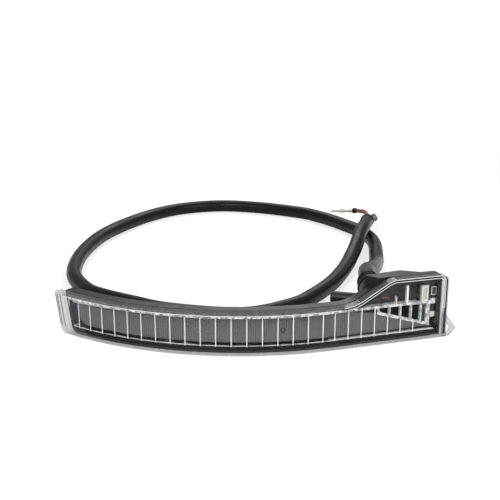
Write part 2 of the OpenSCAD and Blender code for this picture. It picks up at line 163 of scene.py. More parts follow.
def arc_row(cx: float, cz: float, radius: float, start: float, end: float,
            steps: int) -> list[tuple[float, float]]:
    """Return points on an arc.

    Args:
        cx: run of its centre.
        cz: height of its centre.
        radius: its radius.
        start: angle of its first point in degrees.
        end: angle of its last point in degrees.
        steps: how many equal steps it takes.
    """
    angles = [math.radians(start + (end - start) * i / steps) for i in range(steps + 1)]
    return [(cx + radius * math.cos(a), cz + radius * math.sin(a)) for a in angles]


@dataclass(frozen=True)
class Plan:
    """The lamp's plan and outline in millimetres: an arc on the left, then a straight part.

    A place on the lamp is given by run (along the front, 0 where the arc ends), depth (from the
    front) and height.
    """

    centre: tuple[float, float] = (-8.76, 130.88)
    front_r: float = 152.0
    tangent: tuple[float, float] = (36.95, -14.09)
    tangent_deg: float = 17.5
    left_deg: float = 37.5
    bar_h: float = 22.0
    chamber_h: float = 34.0
    straight_l: float = 63.0
    end_lean: float = 3.3
    foot_r: float = 3.5
    rise_start: float = 6.5
    rise_deg: float = 30.0
    rise_foot_r: float = 20.0
    rise_top_r: float = 12.0
    corner_r: float = 3.5
    ear_w: float = 7.0
    lean_foot: float = 3.0
    lean_height: float = 18.0
    least_r: float = 0.4
    bar_steps: int = 36
    straight_steps: int = 8
    bend_steps: int = 8
    corner_steps: int = 5
    foot_start_deg: float = 188.0

    def place(self, run: float, depth: float, height: float) -> Point:
        """Return a place on the lamp in the row frame, in metres.

        Args:
            run: millimetres along the front; less than 0 lies on the arc.
            depth: millimetres behind the front.
            height: millimetres above the table.
        """
        turn = math.radians(self.tangent_deg)
        if run >= 0.0:
            x = self.tangent[0] + run * math.cos(turn) - depth * math.sin(turn)
            y = self.tangent[1] + run * math.sin(turn) + depth * math.cos(turn)
        else:
            turn += run / self.front_r
            x = self.centre[0] + (self.front_r - depth) * math.sin(turn)
            y = self.centre[1] - (self.front_r - depth) * math.cos(turn)
        return mm(x, y, height)

    @property
    def left_run(self) -> float:
        """Return the run at the foot of the left end."""
        return -math.radians(self.left_deg + self.tangent_deg) * self.front_r

    def lean(self, height: float) -> float:
        """Return how far the left end leans out at a height."""
        return self.end_lean * (height - self.lean_foot) / self.lean_height

    def rise(self, inset: float) -> list[tuple[float, float]]:
        """Return the chamber's slope from its top to its foot.

        Args:
            inset: how far inwards it is set.
        """
        turn = math.radians(self.rise_deg)
        foot_u = self.rise_start + self.rise_foot_r * math.sin(turn)
        foot_z = self.bar_h + self.rise_foot_r * (1 - math.cos(turn))
        top_z = self.chamber_h - self.rise_top_r * (1 - math.cos(turn))
        top_u = foot_u + (top_z - foot_z) / math.tan(turn) + self.rise_top_r * math.sin(turn)
        return (arc_row(top_u, self.chamber_h - self.rise_top_r, self.rise_top_r - inset,
                        90, 90 + self.rise_deg, self.bend_steps)
                + arc_row(self.rise_start, self.bar_h + self.rise_foot_r, self.rise_foot_r + inset,
                          270 + self.rise_deg, 270, self.bend_steps))

    def crown(self, right: float, top: float) -> list[tuple[float, float]]:
        """Return the right side from its foot, the corner, the top and the slope.

        Args:
            right: inset of the right side.
            top: inset of the upper edge and the slope.
        """
        corner = arc_row(self.straight_l - self.corner_r, self.chamber_h - self.corner_r,
                         max(self.corner_r - top, self.least_r), 0, 90, self.corner_steps)
        side = [(self.straight_l - right, z) for z in (top + 1.5, 8.0, 16.0, 24.0)]
        bend = self.straight_l - self.corner_r + 0.1
        shift = [(u + (top - right) * (1.0 if u > bend else 0.0), z) for u, z in corner]
        return side + shift + self.rise(top)

    def outline(self, left: float, foot: float, right: float,
                top: float) -> list[tuple[float, float]]:
        """Return the lamp's outline, each side set inwards by its own inset.

        Args:
            left: inset of the leaning end; less than 0 lies outside.
            foot: inset of the lower edge.
            right: inset of the right side.
            top: inset of the upper edge and the slope.
        """
        start, steps, upper_z = self.left_run + left, self.bar_steps, self.bar_h - top
        lean = [(start - self.lean(z), z) for z in (upper_z, 15.0, 9.0)]
        foot_row = [(start + self.foot_r + (-start - self.foot_r) * i / steps, foot)
                    for i in range(steps + 1)]
        ends = [(self.straight_l * i / self.straight_steps, foot)
                for i in range(1, self.straight_steps)] + [(self.straight_l - right, foot)]
        upper = [(start * i / steps - self.end_lean * i / steps, upper_z) for i in range(steps)]
        corner = arc_row(start + self.foot_r, self.foot_r, max(self.foot_r - foot, self.least_r),
                         self.foot_start_deg, 270, self.corner_steps)
        return foot_row + ends + self.crown(right, top) + upper + lean + corner


PLAN = Plan()


# Finishes


PHASE_LIFT = 100.0  # whole beats that keep a pattern's phase above 0
RULED_LOW = 0.78
BRIGHT_SHARE = 1.2
MOTTLE_SCALE = 600.0
MOTTLE_FROM = 0.42
MOTTLE_TO = 0.58
CLEAR_IOR = 1.49
GRAIN_DEPTH = 0.1 * MM

Term = float | bpy.types.NodeSocket


class Sums:
    """Short calls that add math nodes to a tree, so a pattern reads as a formula."""

    def __init__(self, tree: bpy.types.NodeTree) -> None:
        """Keep the tree that the nodes go into."""
        self.tree = tree

    def op(self, kind: str, *terms: Term) -> bpy.types.NodeSocket:
        """Add one math node.

        Args:
            kind: the node's operation.
            terms: numbers or sockets, in the order of its inputs.

        Returns:
            The node's output socket.
        """
        node = self.tree.nodes.new("ShaderNodeMath")
        node.operation = kind
        for socket, term in zip(node.inputs, terms):
            if isinstance(term, (int, float)):
                socket.default_value = term
            else:
                self.tree.links.new(term, socket)
        return node.outputs[0]

    def above(self, value: Term, limit: Term) -> bpy.types.NodeSocket:
        """Return 1 where value is over limit."""
        return self.op("GREATER_THAN", value, limit)

    def below(self, value: Term, limit: Term) -> bpy.types.NodeSocket:
        """Return 1 where value is under limit."""
        return self.op("LESS_THAN", value, limit)

    def both(self, *masks: Term) -> bpy.types.NodeSocket:
        """Return 1 where every mask is."""
        out = masks[0]
        for mask in masks[1:]:
            out = self.op("MULTIPLY", out, mask)
        return out

    def either(self, *masks: Term) -> bpy.types.NodeSocket:
        """Return the greatest of the masks."""
        out = masks[0]
        for mask in masks[1:]:
            out = self.op("MAXIMUM", out, mask)
        return out

    def beat(self, value: Term, start: float, pitch: float) -> bpy.types.NodeSocket:
        """Return the distance to the nearest of an even row of places.

        Args:
            value: where along the row.
            start: the first place.
            pitch: the step from each place to the next.
        """
        phase = self.op("DIVIDE", self.op("SUBTRACT", value, start), pitch)
        part = self.op("FRACT", self.op("ADD", phase, 0.5 + PHASE_LIFT))
        return self.op("MULTIPLY", self.op("ABSOLUTE", self.op("SUBTRACT", part, 0.5)), pitch)


@dataclass(frozen=True)
class GuidePattern:
    """Where the guide gets painted highlights: the same ribs, flanges and rails as its solid has. Sizes in
    mm.
    """

    plan: Plan = PLAN
    first_deg: float = -34.0
    pitch_deg: float = 50.0 / 17.0
    first_u: float = 2.4
    pitch_u: float = 7.25
    half_rib: float = 0.24
    rib_back: float = 2.6
    flange_z: float = 18.75
    flange_share: float = 0.9
    foot_z: float = 4.75
    foot_share: float = 0.75
    edge_u: float = 28.0
    edge_z: float = 15.1
    edge_drop: float = 0.31
    rail_end: float = 47.0
    window_lead: float = 2.0
    window_drop: float = 0.2
    window_share: float = 0.85
    fin_z: float = 20.4
    fin_lead: float = 10.0
    glint_scale: float = 420.0
    glint_from: float = 0.38
    glint_to: float = 0.62
    glint_least: float = 0.5

    @staticmethod
    def in_mm(tree: bpy.types.NodeTree, vector: bpy.types.NodeSocket) -> Iterable[bpy.types.NodeSocket]:
        """Return x, y and z of a place in millimetres.

        Args:
            tree: the tree that the nodes go into.
            vector: the place in metres.
        """
        scale = tree.nodes.new("ShaderNodeVectorMath")
        scale.operation = "SCALE"
        dial(scale, {"Scale": 1.0 / MM})
        split = tree.nodes.new("ShaderNodeSeparateXYZ")
        tree.links.new(vector, scale.inputs[0])
        tree.links.new(scale.outputs[0], split.inputs[0])
        return split.outputs

    def sparkle(self, tree: bpy.types.NodeTree, vector: bpy.types.NodeSocket) -> bpy.types.NodeSocket:
        """Return the uneven brightness of the painted glints on the flange and the rails.

        Args:
            tree: the tree that the nodes go into.
            vector: the place in metres.
        """
        glint = tree.nodes.new("ShaderNodeTexNoise")
        dial(glint, {"Scale": self.glint_scale, "Detail": 2.0})
        tree.links.new(vector, glint.inputs["Vector"])
        spark = tree.nodes.new("ShaderNodeMapRange")
        dial(spark, {"From Min": self.glint_from, "From Max": self.glint_to, "To Min": self.glint_least})
        tree.links.new(glint.outputs["Fac"], spark.inputs["Value"])
        return spark.outputs["Result"]

    def group(self) -> bpy.types.NodeTree:
        """Return the group, with input Vector and output Mask from 0 to 1."""
        tree = bpy.data.node_groups.new("guide_highlights", "ShaderNodeTree")
        tree.interface.new_socket("Vector", in_out="INPUT", socket_type="NodeSocketVector")
        tree.interface.new_socket("Mask", in_out="OUTPUT", socket_type="NodeSocketFloat")
        source, sink = tree.nodes.new("NodeGroupInput"), tree.nodes.new("NodeGroupOutput")
        sums, plan, turn = Sums(tree), self.plan, math.radians(self.plan.tangent_deg)
        x, y, z = self.in_mm(tree, source.outputs["Vector"])

        right = sums.op("SUBTRACT", x, plan.tangent[0])
        back = sums.op("SUBTRACT", y, plan.tangent[1])
        u = sums.op("ADD", sums.op("MULTIPLY", right, math.cos(turn)),
                    sums.op("MULTIPLY", back, math.sin(turn)))
        bar_depth = sums.op("SUBTRACT", sums.op("MULTIPLY", back, math.cos(turn)),
                            sums.op("MULTIPLY", right, math.sin(turn)))
        on_arc, off_arc = sums.below(u, 0.0), sums.above(u, 0.0)

        from_x = sums.op("SUBTRACT", x, plan.centre[0])
        angle = sums.op("ARCTAN2", from_x, sums.op("SUBTRACT", plan.centre[1], y))
        run = sums.op("MULTIPLY", angle, plan.front_r)
        from_y = sums.op("SUBTRACT", y, plan.centre[1])
        reach = sums.op("SQRT", sums.op("ADD", sums.op("POWER", from_x, 2.0),
                                        sums.op("POWER", from_y, 2.0)))
        arc_depth = sums.op("SUBTRACT", plan.front_r, reach)

        mm_per_deg = plan.front_r * math.pi / 180.0
        arc_beat = sums.beat(run, self.first_deg * mm_per_deg, self.pitch_deg * mm_per_deg)
        arc_rib = sums.below(arc_beat, self.half_rib)
        bar_rib = sums.below(sums.beat(u, self.first_u, self.pitch_u), self.half_rib)
        edge = sums.op("SUBTRACT", self.edge_z + self.edge_drop * self.edge_u,
                       sums.op("MULTIPLY", u, self.edge_drop))
        under = sums.both(off_arc, sums.below(u, self.rail_end), sums.below(z, edge))
        before = sums.both(off_arc, sums.below(u, self.edge_u), bar_rib)
        front = sums.either(sums.both(on_arc, sums.below(arc_depth, self.rib_back)),
                            sums.both(off_arc, sums.below(bar_depth, self.rib_back)))
        ribs = sums.both(sums.either(sums.both(on_arc, arc_rib), sums.both(under, bar_rib), before), front)

        # The foot, the fin, the window and the flange are painted highlights too; the flange and the
        # window also get painted glints.
        foot = sums.both(sums.below(z, self.foot_z), self.foot_share)
        fin = sums.both(sums.above(z, self.fin_z), sums.above(u, self.edge_u + self.fin_lead))
        window = sums.both(sums.above(u, self.edge_u - self.window_lead),
                           sums.above(z, sums.op("SUBTRACT", edge, self.window_drop)),
                           self.window_share)
        flange = sums.both(sums.above(z, self.flange_z), self.flange_share)
        painted_glints = sums.both(sums.either(flange, window), self.sparkle(tree, source.outputs["Vector"]))
        tree.links.new(sums.either(sums.either(ribs, foot, fin), painted_glints), sink.inputs["Mask"])
        return tree


class FinishBook:
    """Builds each finish once and hands it out by its name."""

    def __init__(self) -> None:
        """Start with no materials and the shared surface groups."""
        self._made: dict[str, bpy.types.Material] = {}
        self.grain = self._grain_group()
        self.guide_highlights = GuidePattern().group()

    @staticmethod
    def _grain_group() -> bpy.types.NodeTree:
        """Return a group that puts out a soft grain height and a varied roughness.

        Returns:
            The tree, with inputs Vector, Scale, Low and High and outputs Height and Roughness.
        """
        tree = bpy.data.node_groups.new("surface_grain", "ShaderNodeTree")
        for name, kind, value in (
            ("Scale", "NodeSocketFloat", 900.0),
            ("Low", "NodeSocketFloat", 0.35),
            ("High", "NodeSocketFloat", 0.5),
        ):
            tree.interface.new_socket(name, in_out="INPUT", socket_type=kind).default_value = value
        tree.interface.new_socket("Vector", in_out="INPUT", socket_type="NodeSocketVector")
        tree.interface.new_socket("Height", in_out="OUTPUT", socket_type="NodeSocketFloat")
        tree.interface.new_socket("Roughness", in_out="OUTPUT", socket_type="NodeSocketFloat")
        nodes, links = tree.nodes, tree.links
        source, sink = nodes.new("NodeGroupInput"), nodes.new("NodeGroupOutput")
        fine = nodes.new("ShaderNodeTexNoise")
        dial(fine, {"Detail": 3.0})
        broad = nodes.new("ShaderNodeTexNoise")
        dial(broad, {"Scale": 60.0})
        spread = nodes.new("ShaderNodeMapRange")
        dial(spread, {"From Min": 0.35, "From Max": 0.65})
        links.new(source.outputs["Vector"], fine.inputs["Vector"])
        links.new(source.outputs["Scale"], fine.inputs["Scale"])
        links.new(source.outputs["Vector"], broad.inputs["Vector"])
        links.new(broad.outputs["Fac"], spread.inputs["Value"])
        links.new(source.outputs["Low"], spread.inputs["To Min"])
        links.new(source.outputs["High"], spread.inputs["To Max"])
        links.new(fine.outputs["Fac"], sink.inputs["Height"])
        links.new(spread.outputs["Result"], sink.inputs["Roughness"])
        return tree

    def get(self, finish: AnyFinish) -> bpy.types.Material:
        """Return the material of a finish, building it the first time.

        Args:
            finish: the finish.
        """
        if finish.name not in self._made:
            self._made[finish.name] = finish.build(self)
        return self._made[finish.name]


@dataclass(frozen=True)
class Finish:
    """A solid finish: colour, gloss and a fine grain."""

    name: str
    colour: tuple[float, float, float]
    roughness: float = 0.4
    roughness_span: float = 0.1
    metallic: float = 0.0
    grain: float = 0.0
    grain_scale: float = 900.0
    specular: float = 0.5
    ruled: float = 0.0
    mottle: float = 0.0

    def vary(self, nodes: bpy.types.Nodes, links: bpy.types.NodeLinks, place: bpy.types.Node,
             shader: bpy.types.Node) -> None:
        """Vary the colour: in fine upright lines, ruled millimetres apart, or in small painted glints.

        Args:
            nodes: the material's nodes.
            links: the material's links.
            place: the node that gives the Object coordinates.
            shader: the material's surface shader.
        """
        mix = nodes.new("ShaderNodeMix")
        mix.data_type = "RGBA"
        if self.ruled:
            source = nodes.new("ShaderNodeTexWave")
            dial(source, {"Scale": math.pi / (10.0 * self.ruled * MM)})
            low, share = RULED_LOW, source.outputs["Fac"]
        else:
            source = nodes.new("ShaderNodeTexNoise")
            dial(source, {"Scale": MOTTLE_SCALE})
            spread = nodes.new("ShaderNodeMapRange")
            dial(spread, {"From Min": MOTTLE_FROM, "From Max": MOTTLE_TO})
            links.new(source.outputs["Fac"], spread.inputs["Value"])
            low, share = 1.0 - self.mottle, spread.outputs["Result"]
        dial(mix, {"A": (*(low * c for c in self.colour), 1.0),
                   "B": (*(BRIGHT_SHARE * c for c in self.colour), 1.0)})
        links.new(place.outputs["Object"], source.inputs["Vector"])
        links.new(share, mix.inputs["Factor"])
        links.new(mix.outputs["Result"], shader.inputs["Base Color"])

    def build(self, book: FinishBook) -> bpy.types.Material:
        """Return a new material with this finish.

        Args:
            book: the finish book, which holds the shared groups.
        """
        mat, nodes, links, shader = blank_material(self.name)
        dial(shader, {"Base Color": (*self.colour, 1.0), "Metallic": self.metallic,
                      "Specular IOR Level": self.specular})
        place = nodes.new("ShaderNodeTexCoord")
        group = nodes.new("ShaderNodeGroup")
        group.node_tree = book.grain
        dial(group, {"Scale": self.grain_scale, "Low": self.roughness,
                     "High": self.roughness + self.roughness_span})
        links.new(place.outputs["Object"], group.inputs["Vector"])
        links.new(group.outputs["Roughness"], shader.inputs["Roughness"])
        if self.ruled or self.mottle:
            self.vary(nodes, links, place, shader)
        if self.grain:
            bump = nodes.new("ShaderNodeBump")
            dial(bump, {"Strength": self.grain, "Distance": GRAIN_DEPTH})
            links.new(group.outputs["Height"], bump.inputs["Height"])
            links.new(bump.outputs["Normal"], shader.inputs["Normal"])
        return mat


@dataclass(frozen=True)
class ClearFinish:
    """A clear moulded plastic: seen through where it faces the eye, brighter towards its edges."""

    name: str
    tint: tuple[float, float, float]
    alpha: float
    edge_alpha: float
    roughness: float
    facing_from: float = 0.3

    def build(self, book: FinishBook) -> bpy.types.Material:
        """Return a new see-through material.

        Args:
            book: the finish book, unused here; every finish is built by the same call.
        """
        mat, nodes, links, shader = blank_material(self.name)
        dial(shader, {"Base Color": (*self.tint, 1.0), "Roughness": self.roughness, "IOR": CLEAR_IOR})
        turn = nodes.new("ShaderNodeLayerWeight")
        ramp = nodes.new("ShaderNodeMapRange")
        dial(ramp, {"From Min": self.facing_from, "To Min": self.alpha, "To Max": self.edge_alpha})
        links.new(turn.outputs["Facing"], ramp.inputs["Value"])
        links.new(ramp.outputs["Result"], shader.inputs["Alpha"])
        return mat


@dataclass(frozen=True)
class GuideFinish:
    """The clear guide, with painted highlights on its ribs, flanges and rails."""

    name: str
    plain: tuple[float, float, float]
    bright: tuple[float, float, float]
    alpha: float
    bright_alpha: float
    roughness: float

    def build(self, book: FinishBook) -> bpy.types.Material:
        """Return a new material whose painted highlight lines follow the guide's own ribs.

        Args:
            book: the finish book, which holds the rib pattern's group.
        """
        mat, nodes, links, shader = blank_material(self.name)
        dial(shader, {"Roughness": self.roughness})
        place = nodes.new("ShaderNodeTexCoord")
        lines = nodes.new("ShaderNodeGroup")
        lines.node_tree = book.guide_highlights
        links.new(place.outputs["Object"], lines.inputs["Vector"])
        colour = nodes.new("ShaderNodeMix")
        colour.data_type = "RGBA"
        dial(colour, {"A": (*self.plain, 1.0), "B": (*self.bright, 1.0)})
        ramp = nodes.new("ShaderNodeMapRange")
        dial(ramp, {"To Min": self.alpha, "To Max": self.bright_alpha})
        links.new(lines.outputs["Mask"], colour.inputs["Factor"])
        links.new(lines.outputs["Mask"], ramp.inputs["Value"])
        links.new(colour.outputs["Result"], shader.inputs["Base Color"])
        links.new(ramp.outputs["Result"], shader.inputs["Alpha"])
        return mat


AnyFinish = Finish | ClearFinish | GuideFinish

HOUSING = Finish("housing_satin", (0.011, 0.011, 0.012), 0.36, 0.12, grain=0.25, specular=0.2)
LENS = ClearFinish("lens_clear", (0.4, 0.41, 0.42), 0.008, 0.4, 0.05)
RIM = ClearFinish("cover_rim", (0.07, 0.07, 0.073), 0.22, 0.46, 0.1, facing_from=0.15)
# Painted highlight (pale) and painted shade (dark) for the lines along the cover's moulded corners.
EDGE_HIGHLIGHT = Finish("cover_edge_highlight", (0.62, 0.62, 0.62), 0.2, 0.1)
SHADE = Finish("cover_shade", (0.05, 0.05, 0.052), 0.3, 0.1, specular=0.2)
GASKET = Finish("gasket_black", (0.006, 0.006, 0.006), 0.5, 0.1, specular=0.1)
# Painted glints for the band just below the cover's top line.
GLINT = Finish("cover_glint", (0.66, 0.66, 0.66), 0.25, 0.1, mottle=0.6)
# Painted shade: the dark colour of the sheet that closes the chamber stands for the chamber's shaded
# inside.
CHAMBER_SHADE = Finish("chamber_painted_shade", (0.032, 0.031, 0.035), 0.5, 0.1, specular=0.2)
# Painted highlights: the guide's ribs, flanges, rails and fin take the bright colour.
GUIDE = GuideFinish("guide_clear", (0.2, 0.2, 0.21), (0.85, 0.86, 0.87), 0.03, 0.88, 0.12)
PANEL = Finish("panel_satin", (0.125, 0.125, 0.13), 0.45, 0.1, specular=0.2, ruled=1.1)
DIFFUSER = Finish("diffuser_milky", (0.5, 0.52, 0.47), 0.5, 0.1)
BEZEL = Finish("bezel_gloss", (0.008, 0.008, 0.009), 0.16, 0.06, specular=0.25)
BOARD = Finish("board_lacquer", (0.03, 0.036, 0.026), 0.35, 0.1)
LED = Finish("led_package", (0.6, 0.59, 0.54), 0.3, 0.1)
CHIP = Finish("chip_body", (0.02, 0.02, 0.02), 0.4, 0.1)
SOLDER = Finish("solder_bright", (0.6, 0.6, 0.62), 0.25, 0.1, metallic=1.0)
BROWN = Finish("core_brown", (0.12, 0.06, 0.035), 0.42, 0.1)
BLACK = Finish("core_black", (0.01, 0.01, 0.01), 0.38, 0.1, specular=0.3)
VENT = Finish("vent_felt", (0.5, 0.5, 0.47), 0.8, 0.1, grain=0.3)
RUBBER = Finish("rubber_moulded", (0.008, 0.008, 0.009), 0.55, 0.12, grain=0.2, specular=0.08)
SLEEVE = Finish("sleeve_satin", (0.006, 0.006, 0.007), 0.3, 0.12, grain=0.1, grain_scale=500.0,
                specular=0.12)
WRAP = Finish("wrap_shrink", (0.006, 0.006, 0.006), 0.4, 0.1, specular=0.12)
SEAL = Finish("seal_rubber", (0.008, 0.008, 0.008), 0.45, 0.1, specular=0.15)
TERMINAL = Finish("terminal_tin", (0.66, 0.63, 0.57), 0.28, 0.1, metallic=1.0)
SILK = Finish("board_silk", (0.75, 0.75, 0.73), 0.5, 0.1)


# Surroundings


@dataclass(frozen=True)
class SoftBox:
    """One square soft lamp: its place, the point it faces and its side in mm, its power in watts."""

    name: str
    place: Point
    aim: Point
    side: float
    power: float

    def build(self) -> None:
        """Add the lamp to the scene."""
        data = bpy.data.lights.new(self.name, "AREA")
        data.size = self.side * MM
        data.energy = self.power
        lamp = bpy.data.objects.new(self.name, data)
        lamp.location = mm(*self.place)
        way = Vector(mm(*self.aim)) - Vector(mm(*self.place))
        lamp.rotation_euler = way.to_track_quat("-Z", "Y").to_euler()
        bpy.context.scene.collection.objects.link(lamp)


BOXES = (
    SoftBox("key_box", (-260, -420, 620), (0, 60, 10), 420, 5.0),
    SoftBox("fill_box", (420, -260, 420), (20, 60, 10), 360, 2.6),
    SoftBox("back_box", (60, 620, 520), (0, 60, 10), 460, 2.6),
)


@dataclass
class Studio:
    """Camera, soft studio light, pale floor and white background."""

    lens_mm: float = 62.35
    sensor_mm: float = 36.0
    tilt_deg: float = 16.1
    eye_mm: Point = (-3.8, -417.0, 168.9)
    grey: float = 0.9
    grey_light: float = 0.45
    floor_side: float = 6.0
    floor_z: float = -0.0002
    floor_grey: float = 0.92
    shadow_to: float = 0.25
    white_from: float = 0.6
    least_glow: float = 0.7

    def camera(self) -> None:
        """Set the camera where the photograph was taken from."""
        data = bpy.data.cameras.new("photo_camera")
        data.lens = self.lens_mm
        data.sensor_width = self.sensor_mm
        data.sensor_fit = "HORIZONTAL"
        data.clip_start = 0.01
        rig = bpy.data.objects.new("photo_camera", data)
        rig.location = mm(*self.eye_mm)
        rig.rotation_euler = (math.radians(90.0 - self.tilt_deg), 0.0, 0.0)
        bpy.context.scene.collection.objects.link(rig)
        bpy.context.scene.camera = rig

    def world(self) -> None:
        """Give a white background to the camera and an even grey light to everything else."""
        world = bpy.data.worlds.new("studio_world")
        bpy.context.scene.world = world
        world.use_nodes = True
        nodes, links = world.node_tree.nodes, world.node_tree.links
        nodes.clear()
        out = nodes.new("ShaderNodeOutputWorld")
        path = nodes.new("ShaderNodeLightPath")
        both = nodes.new("ShaderNodeMath")
        both.operation = "ADD"
        both.use_clamp = True
        links.new(path.outputs["Is Camera Ray"], both.inputs[0])
        links.new(path.outputs["Is Transmission Ray"], both.inputs[1])
        plain, white = nodes.new("ShaderNodeBackground"), nodes.new("ShaderNodeBackground")
        dial(plain, {"Color": (self.grey, self.grey, self.grey, 1.0), "Strength": self.grey_light})
        dial(white, {"Color": (1.0, 1.0, 1.0, 1.0), "Strength": 1.0})
        mix = nodes.new("ShaderNodeMixShader")
        links.new(both.outputs[0], mix.inputs["Fac"])
        links.new(plain.outputs[0], mix.inputs[1])
        links.new(white.outputs[0], mix.inputs[2])
        links.new(mix.outputs[0], out.inputs["Surface"])

    def floor(self) -> None:
        """Lay a pale table top that keeps a soft shadow."""
        lone_selection()
        bpy.ops.mesh.primitive_plane_add(size=self.floor_side, location=(0.0, 0.0, self.floor_z))
        plane = bpy.context.object
        plane.name = "table_top"
        settle(plane)
        mat, nodes, links, shader = blank_material("table_white")
        dial(shader, {"Base Color": (self.floor_grey, self.floor_grey, self.floor_grey, 1.0),
                      "Roughness": 0.8, "Specular IOR Level": 0.1})
        glow = nodes.new("ShaderNodeEmission")
        dial(glow, {"Color": (1.0, 1.0, 1.0, 1.0), "Strength": 1.0})
        path = nodes.new("ShaderNodeLightPath")
        place = nodes.new("ShaderNodeTexCoord")
        reach = nodes.new("ShaderNodeVectorMath")
        reach.operation = "LENGTH"
        fade = nodes.new("ShaderNodeMapRange")
        fade.interpolation_type = "SMOOTHSTEP"
        dial(fade, {"From Min": self.shadow_to, "From Max": self.white_from, "To Min": self.least_glow})
        links.new(place.outputs["Object"], reach.inputs[0])
        links.new(reach.outputs["Value"], fade.inputs["Value"])
        share = nodes.new("ShaderNodeMath")
        share.operation = "MULTIPLY"
        links.new(fade.outputs["Result"], share.inputs[1])
        mix = nodes.new("ShaderNodeMixShader")
        links.new(path.outputs["Is Camera Ray"], share.inputs[0])
        links.new(share.outputs[0], mix.inputs["Fac"])
        links.new(shader.outputs[0], mix.inputs[1])
        links.new(glow.outputs[0], mix.inputs[2])
        links.new(mix.outputs[0], nodes["Material Output"].inputs["Surface"])
        plane.data.materials.append(mat)

    def build(self) -> None:
        """Set up the camera, lamps, world and floor."""
        self.camera()
        for box in BOXES:
            box.build()
        self.world()
        self.floor()


# Cable


THICK = 2 * MM
THICK_STEPS = 6
THIN_STEPS = 2


def spline_points(route: Sequence[Point], steps: int) -> list[Vector]:
    """Return points on the smooth curve through a route.

    Args:
        route: the given points, in metres.
        steps: how many points each leg gives.
    """
    pts = [Vector(p) for p in route]
    out: list[Vector] = []
    for i in range(len(pts) - 1):
        a, b, c, e = pts[max(i - 1, 0)], pts[i], pts[i + 1], pts[min(i + 2, len(pts) - 1)]
        for s in range(steps):
            t = s / steps
            out.append(0.5 * (2 * b + (c - a) * t + (2 * a - 5 * b + 4 * c - e) * t * t
                              + (3 * b - a - 3 * c + e) * t ** 3))
    out.append(pts[-1])
    return out


def run_length(points: Iterable[Vector]) -> float:
    """Return the length along a row of points."""
    pts = list(points)
    return sum((b - a).length for a, b in zip(pts, pts[1:]))


def round_tube(book: FinishBook, name: str, points: Sequence[Vector | Point], width: float,
               finish: Finish, cyclic: bool = False) -> bpy.types.Object:
    """Make a round tube as a curve of one spline, riding on the lamp.

    Args:
        book: the finish book.
        name: the piece's name.
        points: its centre line, in metres.
        width: its diameter, in metres.
        finish: its finish.
        cyclic: whether it closes on itself.

    Returns:
        The curve object.
    """
    data = bpy.data.curves.new(name, "CURVE")
    data.dimensions = "3D"
    data.bevel_depth = width / 2
    data.bevel_resolution = THICK_STEPS if width > THICK else THIN_STEPS
    data.use_fill_caps = True
    spline = data.splines.new("POLY")
    spline.points.add(len(points) - 1)
    for node, p in zip(spline.points, points):
        node.co = (*p, 1.0)
    spline.use_smooth = True
    spline.use_cyclic_u = cyclic
    obj = bpy.data.objects.new(name, data)
    bpy.context.scene.collection.objects.link(obj)
    wear(book, obj, finish)
    return obj


@dataclass
class Cable:
    """The sleeve, the two cores and what ends them."""

    book: FinishBook
    sleeve_d: float = 9.5 * MM
    core_d: float = 3.1 * MM
    steps: int = 8
    wrap_l: float = 9.0 * MM
    core_gap: float = 0.1 * MM
    core_lead: float = 6 * MM
    route: list[Point] = field(default_factory=lambda: [mm(*p) for p in (
        (60.5, 36, 23.5), (63, 56, 20), (67, 70, 16.5), (71, 86, 12.5), (75, 104, 8.5),
        (78.5, 123, 5.8), (81, 142, 5), (83, 160, 5), (83, 176, 5), (80.5, 191, 5), (75.5, 205, 5),
        (68.5, 218, 5), (59, 234, 5), (50, 246, 5), (37, 259, 5), (5, 276, 5), (-28, 283, 5),
        (-60, 272.5, 5), (-82, 250, 5), (-99, 220, 5), (-110, 191, 5), (-115, 164, 5),
        (-117, 135, 5), (-115, 106, 5), (-110, 86, 5), (-99, 65, 5), (-89, 55, 5), (-70, 42.5, 5),
        (-47, 30, 5), (-8, 23, 5), (19, 37.6, 5), (31.5, 53.5, 5), (44, 76, 5), (52, 96, 5),
        (59, 117, 5.5), (62.5, 128, 7), (66, 138, 9.5), (69, 148, 12), (72, 160, 14.3),
        (75.5, 172, 15), (81, 193, 14.5))])
    end_way: Point = (5.5, 21.0, -0.5)
    brown_legs: list[Point] = field(default_factory=lambda: [
        mm(84, 218, 14), mm(83, 225, 14), mm(78, 231, 13.4)])
    black_legs: list[Point] = field(default_factory=lambda: [
        mm(90, 220, 12), mm(92, 228, 9), mm(93, 234, 6.5)])

    def exit_point(self) -> Point:
        """Return where the sleeve leaves the grommet: the middle of the grommet's far face."""
        low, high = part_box("cable_grommet")
        return ((low[0] + high[0]) / 2, high[1], (low[2] + high[2]) / 2)

    def build(self) -> None:
        leave = self.exit_point()
        line = spline_points([leave, *self.route], self.steps)
        sleeve = round_tube(self.book, "sleeve_tube", line, self.sleeve_d, SLEEVE)
        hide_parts("cable_sleeve")
        way = Vector(self.end_way).normalized()
        wrap_end = Vector(self.route[-1]) + way * self.wrap_l
        side = way.cross(Vector((0, 0, 1))).normalized() * (self.core_d / 2 + self.core_gap)
        for name, start, legs, finish, slot in (
            ("brown", wrap_end - side, self.brown_legs, BROWN, Slot.BROWN),
            ("black", wrap_end + side, self.black_legs, BLACK, Slot.BLACK),
        ):
            path = spline_points([tuple(start), tuple(start + self.core_lead * way), *legs], self.steps)
            core = round_tube(self.book, f"{name}_core", path, self.core_d, finish)
            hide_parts(f"{name}_wire")
            LOG.info("%s core %.1f mm", name, run_length(path) / MM)
        LOG.info("sleeve %.1f mm", run_length(line) / MM)


# Cover


